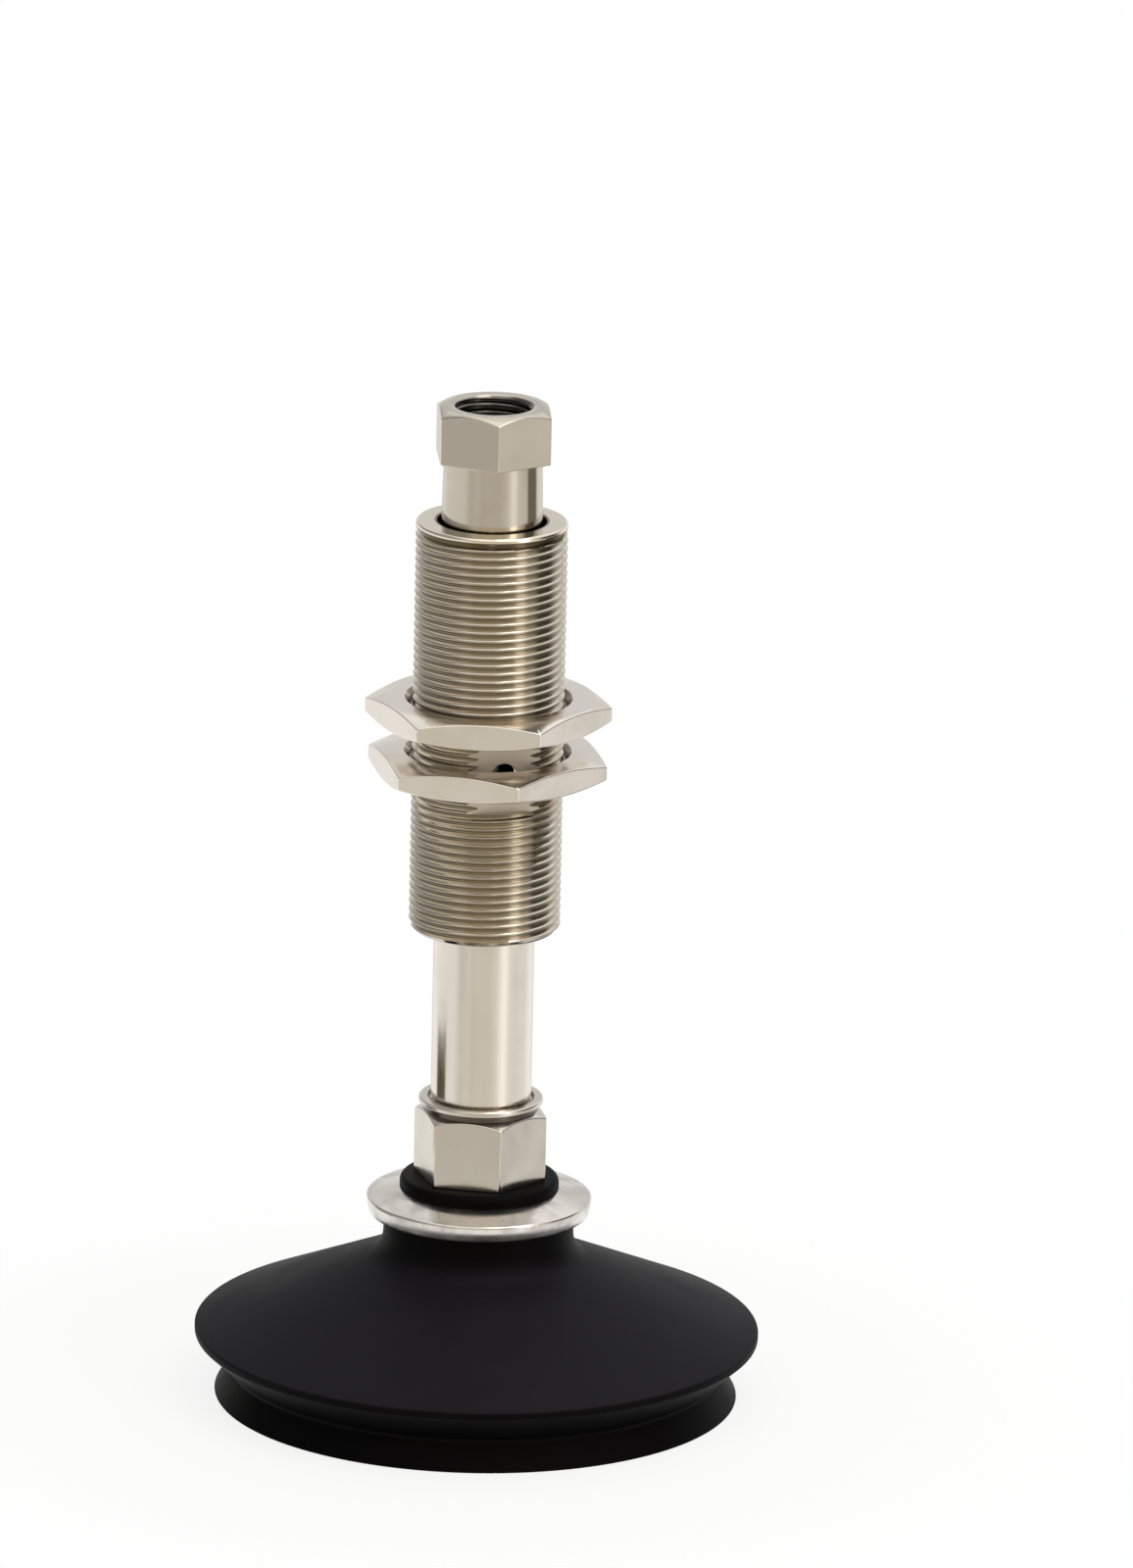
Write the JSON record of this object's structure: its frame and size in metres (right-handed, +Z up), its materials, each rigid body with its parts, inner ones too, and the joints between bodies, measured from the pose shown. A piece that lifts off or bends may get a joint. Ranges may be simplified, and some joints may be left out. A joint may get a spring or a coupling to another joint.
{
  "type": "suction cup level compensator",
  "caption": "Sprung hollow rod in a threaded sleeve with clamping nuts, a hexagonal vacuum port on top and a wide bellows suction cup below.",
  "frame": {"origin": "centre of the plane of the sealing lip, which is the lowest face", "axes": "+Z up along the rod, towards the vacuum port; the vent hole faces -Y, turned 14.5 degrees towards +X"},
  "size_m": [0.0674, 0.0674, 0.122],
  "materials": {
    "nickel_sleeve": "nickel plated thread, satin and warm",
    "nickel_nut": "nickel plated, bright satin",
    "nickel_rod": "ground and nickel plated, polished",
    "nickel_port": "nickel plated, satin",
    "nickel_adapter": "nickel plated, polished",
    "nickel_ring": "nickel plated, polished",
    "bronze": "sintered bronze, oiled",
    "spring_steel": "drawn and tempered",
    "seat_steel": "stamped",
    "filter_steel": "stamped and perforated",
    "seal_rubber": "moulded elastomer",
    "gasket": "flat elastomer ring",
    "cup_rubber": "moulded rubber, matt to satin"
  },
  "bodies": {
    "sleeve": {"threaded_sleeve": "nickel_sleeve", "upper_guide_bush": "bronze", "lower_guide_bush": "bronze", "bush_clip": "spring_steel", "rod_wiper": "seal_rubber", "end_stop_bumper": "seal_rubber", "upper_spring_seat": "seat_steel", "compression_spring": "spring_steel"},
    "upper_nut": {"upper_mounting_nut": "nickel_nut"},
    "lower_nut": {"lower_mounting_nut": "nickel_nut"},
    "spring_carrier": {"lower_spring_seat": "seat_steel"},
    "spindle": {"spindle_tube": "nickel_rod", "port_fitting": "nickel_port", "port_gasket": "gasket", "cup_adapter": "nickel_adapter", "adapter_gasket": "gasket", "cup_lock_ring": "nickel_ring", "suction_cup": "cup_rubber", "filter_screen": "filter_steel", "filter_clip": "spring_steel"}
  },
  "joints": [
    {"name": "stroke", "type": "slide", "parent": "sleeve", "child": "spring_carrier", "axis": [0, 0, 1], "range_m": [0, 0.02], "stiffness_N_per_m": 420, "springref_m": -0.012, "deforming": ["compression_spring"]},
    {"name": "spindle_turn", "type": "hinge", "parent": "spring_carrier", "child": "spindle", "pos_m": [0, 0, 0], "axis": [0, 0, 1], "continuous": true},
    {"name": "upper_nut_travel", "type": "slide", "parent": "sleeve", "child": "upper_nut", "axis": [0, 0, 1], "range_m": [-0.0015, 0.0185]},
    {"name": "lower_nut_travel", "type": "slide", "parent": "sleeve", "child": "lower_nut", "axis": [0, 0, 1], "range_m": [-0.0175, 0.0015]}
  ]
}
